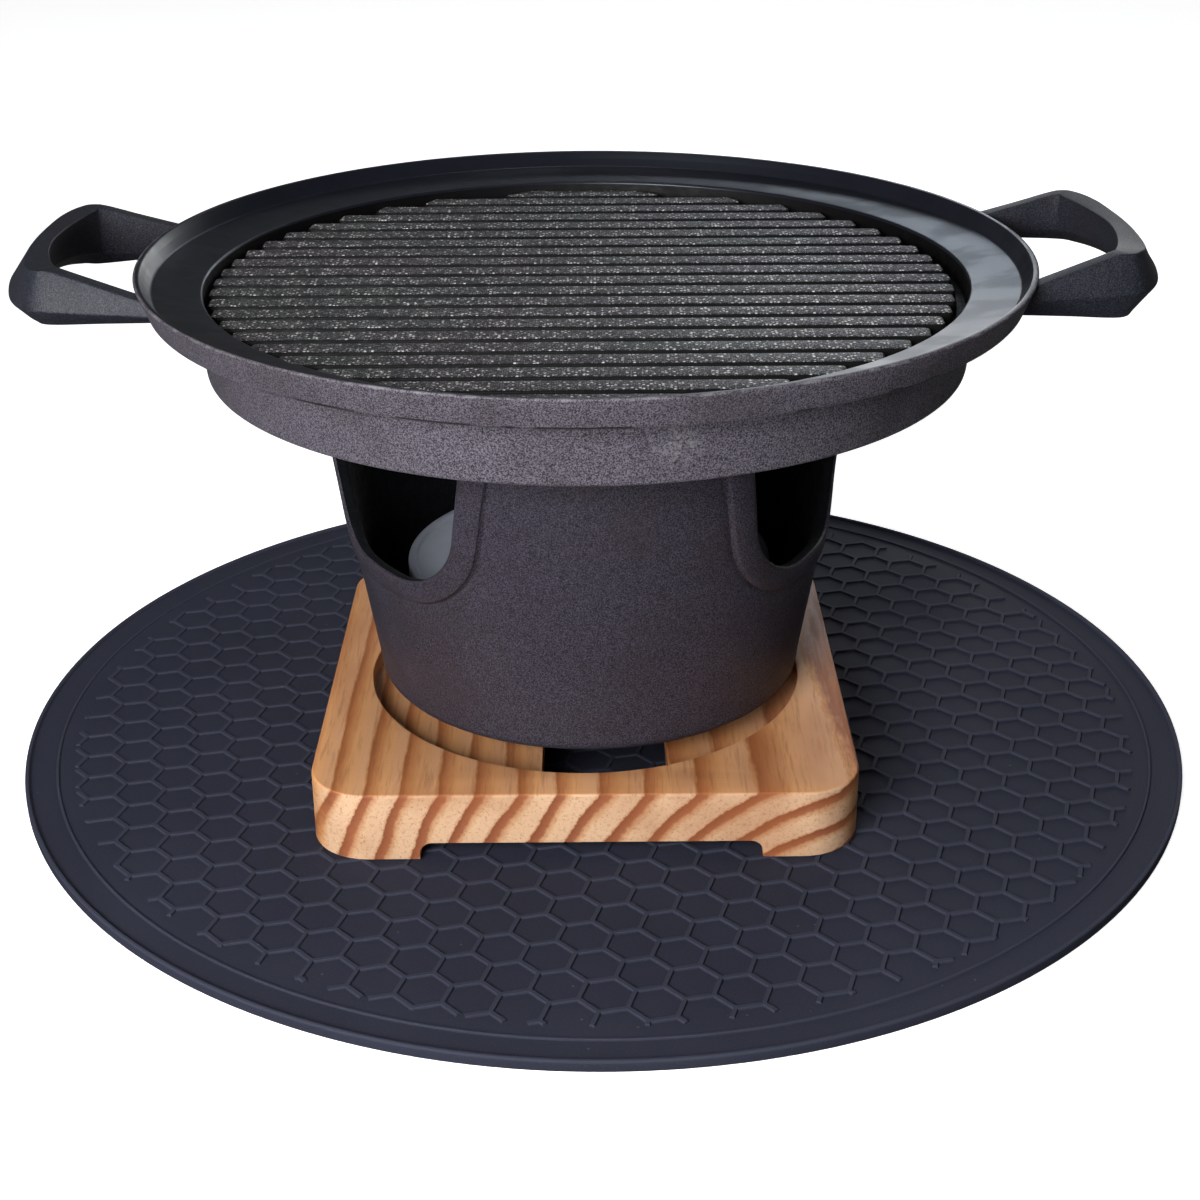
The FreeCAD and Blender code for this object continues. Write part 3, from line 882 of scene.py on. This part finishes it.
def handle(name, node, direction):
    """A cast loop: half_loop on one side and its deeper mirror image on the other, with a smooth run between
    the sections. direction is in degrees."""
    sections = [[Vector(p) for p in section] for section in half_loop]
    deep_half = []
    for section, drop in zip(sections, deep_arm_drops):
        deep_half.append([Vector((p.x, -p.y, p.z - (drop if i >= first_bottom_edge else 0)))
                          for i, p in enumerate(section)])
    deep_half.reverse()
    for half, root, arm in ((sections, 0, 1), (deep_half, -1, -2)):
        half[root] = [on_rim(out, inner) for inner, out in zip(half[root], half[arm])]
    sections.insert(1, [a.lerp(b, 0.5) for a, b in zip(sections[0], sections[1])])
    deep_half.insert(-1, [a.lerp(b, 0.5) for a, b in zip(deep_half[-1], deep_half[-2])])
    sections += deep_half
    fine = []
    steps = 6
    last = len(sections) - 1
    for i in range(last):
        for k in range(steps):
            t = k / steps
            four = [sections[max(i - 1, 0)], sections[i], sections[i + 1], sections[min(i + 2, last)]]
            fine.append([between(a, b, c, d, t) for a, b, c, d in zip(*four)])
    fine.append(sections[-1])
    turn = Matrix.Rotation(math.radians(direction), 3, "Z")
    top = highest(node) - field - 0.001         # a hair below the CAD's, so rounding can't pass it
    points, rings = [], []
    for section in fine:
        start = len(points)
        for spot in rounded_section(section):
            spot = turn @ spot
            points.append((spot.x + grill_x, spot.y + grill_y, min(spot.z, top) + field))
        rings.append(list(range(start, len(points))))
    faces = joined(rings) + [rings[0], rings[-1]]
    paint = heat_paint(name + "_paint", srgb(19, 20, 26), srgb(57, 60, 72), scuffs=0.25).material
    made = piece(name, points, faces, "plate", [paint], sharp=30)
    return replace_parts(made, node)


# ---------------------------------------------------------------- fuel cup and lid

def fuel_cup():
    wall = 1.2
    slant_width, slant_height = 6.0, 5.0        # between the floor and the wall, outside
    inner_slant_shift = 0.4                     # the slant's inside starts further in and ends higher by this
    outline = softened([
        (0.0, cup_bottom), (cup_radius - slant_width, cup_bottom, 1.0),
        (cup_radius, cup_bottom + slant_height, 3.0), (cup_radius, cup_top, 0.5),
        (cup_radius - wall, cup_top, 0.5),
        (cup_radius - wall, cup_bottom + slant_height + inner_slant_shift, 3.0),
        (cup_radius - slant_width - inner_slant_shift, cup_bottom + wall, 1.0), (0.0, cup_bottom + wall)])
    points, faces = turned(outline, (grill_x, grill_y), field, 144)
    cup = piece("fuel_cup_spun", points, faces, "cup", [bare_aluminium()], sharp=45)
    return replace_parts(cup, "fuel_cup")


def cup_lid():
    thickness, rim_width, slope, depth, skirt = 1.2, 2.2, 0.7, 1.0, 5.0
    rim_inner = lid_radius - rim_width
    dish_under, dish_under_radius = lid_top - depth - thickness, rim_inner - 3.5
    seat_radius = cup_radius - 1.8              # the flat that rests on the cup starts inside the cup's wall
    outline = softened([
        (0.0, dish_under), (dish_under_radius, dish_under, 0.3), (seat_radius, lid_top - thickness, 0.6),
        (lid_radius - thickness, lid_top - thickness, 0.3),
        (lid_radius - thickness, lid_top - skirt, 0.4), (lid_radius, lid_top - skirt, 0.4),
        (lid_radius, lid_top, 0.7), (rim_inner, lid_top, 0.3), (rim_inner - slope, lid_top - depth, 0.4),
        (0.0, lid_top - depth)])
    points, faces = turned(outline, (grill_x, grill_y), field, 144)
    lid = piece("cup_lid_spun", points, faces, "lid", [bare_aluminium()], sharp=45)
    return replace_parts(lid, "cup_lid")


# ---------------------------------------------------------------- wooden base

def wooden_base():
    """The CAD's own base, with its flat faces cleaned up and its edges eased."""
    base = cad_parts["wooden_base"]
    base.data.materials.clear()
    base.data.materials.append(pine())
    weld = base.modifiers.new("weld", "WELD")
    weld.merge_threshold = 0.002 * MM
    flat = base.modifiers.new("flat", "DECIMATE")
    flat.decimate_type = "DISSOLVE"
    flat.angle_limit = math.radians(0.5)
    ease = base.modifiers.new("ease", "BEVEL")
    ease.width = 0.5 * MM
    ease.segments = 3
    ease.limit_method = "ANGLE"
    ease.angle_limit = math.radians(50)
    base.data.shade_smooth()


silicone_mat()
wooden_base()
stove_body()
fuel_cup()
cup_lid()
grill_plate()
handle("right_handle_loop", "right_handle", handle_turn)
handle("left_handle_loop", "left_handle", 180 + handle_turn)


# ---------------------------------------------------------------- floor, light and camera

def studio_white():
    material = bpy.data.materials.new("studio_white")
    material.use_nodes = True
    shader = material.node_tree.nodes["Principled BSDF"]
    shader.inputs["Base Color"].default_value = (0.93, 0.93, 0.93, 1)
    shader.inputs["Roughness"].default_value = 0.9
    shader.inputs["Specular IOR Level"].default_value = 0.1
    shader.inputs["Emission Color"].default_value = (1, 1, 1, 1)
    shader.inputs["Emission Strength"].default_value = 0.8
    return material


def stage(name, points, faces, material):
    """Part of the room, which throws no light back onto the grill."""
    mesh = bpy.data.meshes.new(name)
    mesh.from_pydata([Vector(p) * MM for p in points], [], faces)
    mesh.shade_smooth()
    mesh.materials.append(material)
    made = bpy.data.objects.new(name, mesh)
    bpy.context.scene.collection.objects.link(made)
    made.visible_diffuse = made.visible_glossy = False
    return made


def studio():
    """A pale floor, and far round it a wall that curves up out of it."""
    white = studio_white()
    half = 6000.0
    corners = [(-half, -half, 0), (half, -half, 0), (half, half, 0), (-half, half, 0)]
    stage("floor", corners, [(0, 1, 2, 3)], white)
    curve_start, wall_radius, curve_radius = 3400.0, 5500.0, 2000.0
    foot, wall_top = 2.0, 6000.0                # the wall's foot lies just above the floor
    outline = softened([
        (curve_start, foot), (wall_radius, foot, curve_radius), (wall_radius, wall_top)], steps=12)
    wall = stage("wall", *turned(outline, (0.0, 0.0), 0.0, 96), white)
    wall.visible_shadow = False


def softbox(name, place, width, height, power, tint=(1, 1, 1)):
    """A rectangular light, in metres and watts, that faces the object."""
    aim = (0.0, 0.0, 0.08)
    light = bpy.data.lights.new(name, "AREA")
    light.shape = "RECTANGLE"
    light.size, light.size_y = width, height
    light.energy = power
    light.color = tint
    made = bpy.data.objects.new(name, light)
    made.location = place
    made.rotation_euler = (Vector(aim) - Vector(place)).to_track_quat("-Z", "Y").to_euler()
    made.visible_camera = False
    bpy.context.scene.collection.objects.link(made)


def window_light(name, toward, strength, spread):
    """Even light from far away: toward points from the object to the light, and spread is in degrees."""
    light = bpy.data.lights.new(name, "SUN")
    light.energy = strength
    light.angle = math.radians(spread)
    made = bpy.data.objects.new(name, light)
    made.rotation_euler = Vector(toward).to_track_quat("Z", "Y").to_euler()
    bpy.context.scene.collection.objects.link(made)


def sky(strength):
    world = bpy.data.worlds.new("studio")
    world.use_nodes = True
    background = world.node_tree.nodes["Background"]
    background.inputs["Color"].default_value = (1, 1, 1, 1)
    background.inputs["Strength"].default_value = strength
    bpy.context.scene.world = world


# The photo's camera, solved from the outlines of the rim, stove, base and mat
camera_place = (-0.00274, -0.57506, 0.31368)
camera_angles = (0.19, 25.33, -0.33)        # to the right, down and rolled, in degrees
camera_lens, camera_sensor = 59.74, 36.0    # millimetres


def camera():
    data = bpy.data.cameras.new("camera")
    data.sensor_width = camera_sensor
    data.lens = camera_lens
    data.clip_start, data.clip_end = 0.01, 50.0
    made = bpy.data.objects.new("camera", data)
    yaw, pitch, roll = [math.radians(angle) for angle in camera_angles]
    forward = Vector((math.sin(yaw) * math.cos(pitch), math.cos(yaw) * math.cos(pitch), -math.sin(pitch)))
    level = Vector((math.cos(yaw), -math.sin(yaw), 0))
    upright = level.cross(forward)
    right = level * math.cos(roll) + upright * math.sin(roll)
    up = upright * math.cos(roll) - level * math.sin(roll)
    made.matrix_world = Matrix((right, up, -forward)).transposed().to_4x4()
    made.location = camera_place
    bpy.context.scene.collection.objects.link(made)
    bpy.context.scene.camera = made


studio()
sky(0.09)
softbox("key", (-0.30, -0.69, 0.35), 0.42, 0.32, 7.5)
window_light("fill", (-0.50, -0.62, 0.60), 0.12, 40)
softbox("top", (0.0, 0.25, 1.7), 0.7, 0.25, 2.5)
softbox("back", (0.28, 1.20, 0.54), 0.42, 0.26, 0.65, tint=(0.80, 0.89, 1.0))
softbox("behind", (0.22, 1.60, 0.86), 0.4, 0.20, 0.8, tint=(0.80, 0.89, 1.0))
softbox("rear", (0.40, 1.10, 0.20), 0.6, 0.25, 2.2)
bpy.context.scene.view_settings.view_transform = "Standard"
camera()
